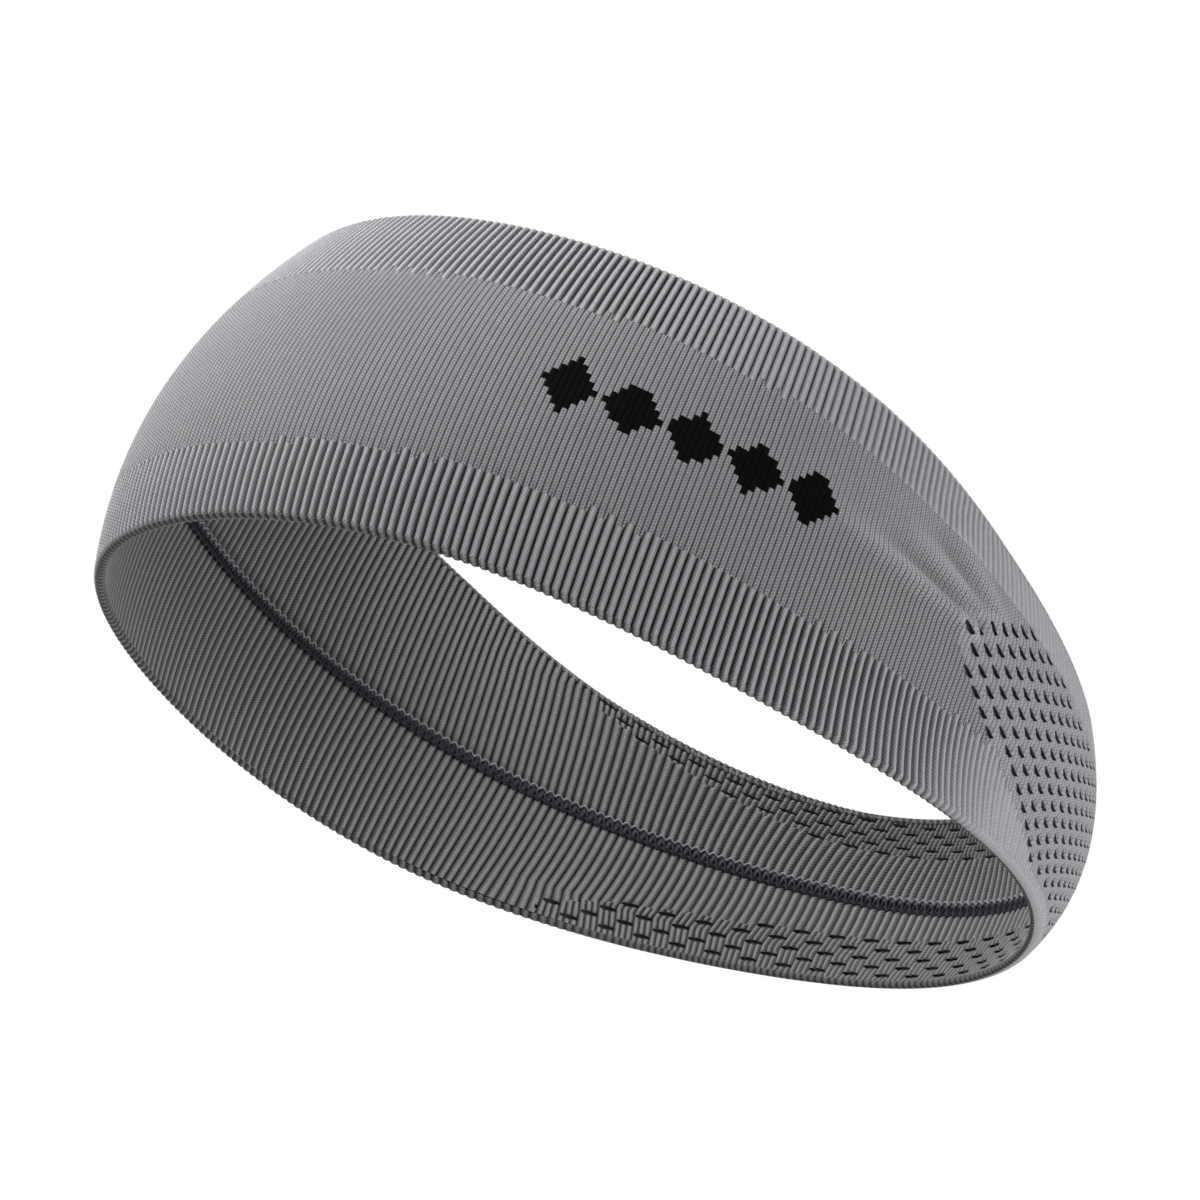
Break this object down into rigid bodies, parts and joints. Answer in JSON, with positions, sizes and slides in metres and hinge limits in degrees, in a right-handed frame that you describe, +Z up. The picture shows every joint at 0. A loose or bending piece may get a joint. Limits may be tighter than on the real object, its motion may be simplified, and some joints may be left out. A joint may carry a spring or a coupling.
{
  "type": "sports headband",
  "caption": "Wide knitted sports headband, double layer, tall at the forehead and low at the back, with ribbed edges, a vented back panel and a flat seam inside.",
  "frame": {"origin": "middle of the head opening, level with the lower rim", "axes": "+Z up as worn, the forehead at -Y and the nape at +Y, the wearer's left at +X"},
  "size_m": [0.1612, 0.1982, 0.0752],
  "materials": {
    "panel_knit": "fine jersey knit, matt",
    "mesh_knit": "open eyelet knit, matt",
    "rib_knit": "ribbed knit, matt",
    "lining_knit": "ribbed knit with tuck blocks, matt",
    "fold_knit": "ribbed knit turned over, matt",
    "loop_thread": "textured sewing thread, pale",
    "cover_thread": "textured sewing thread, dark violet",
    "motif_yarn": "black jacquard yarn, matt"
  },
  "bodies": {
    "root": {"outer_front_panel": "panel_knit", "outer_mesh_panel": "mesh_knit", "outer_upper_rib": "rib_knit", "outer_lower_rib": "rib_knit", "inner_upper_lining": "lining_knit", "inner_lower_lining": "lining_knit", "upper_edge_fold": "fold_knit", "lower_edge_fold": "fold_knit", "seam_upper_thread": "loop_thread", "seam_lower_thread": "cover_thread", "seam_cover_thread": "cover_thread", "knitted_motif": "motif_yarn"}
  },
  "joints": []
}
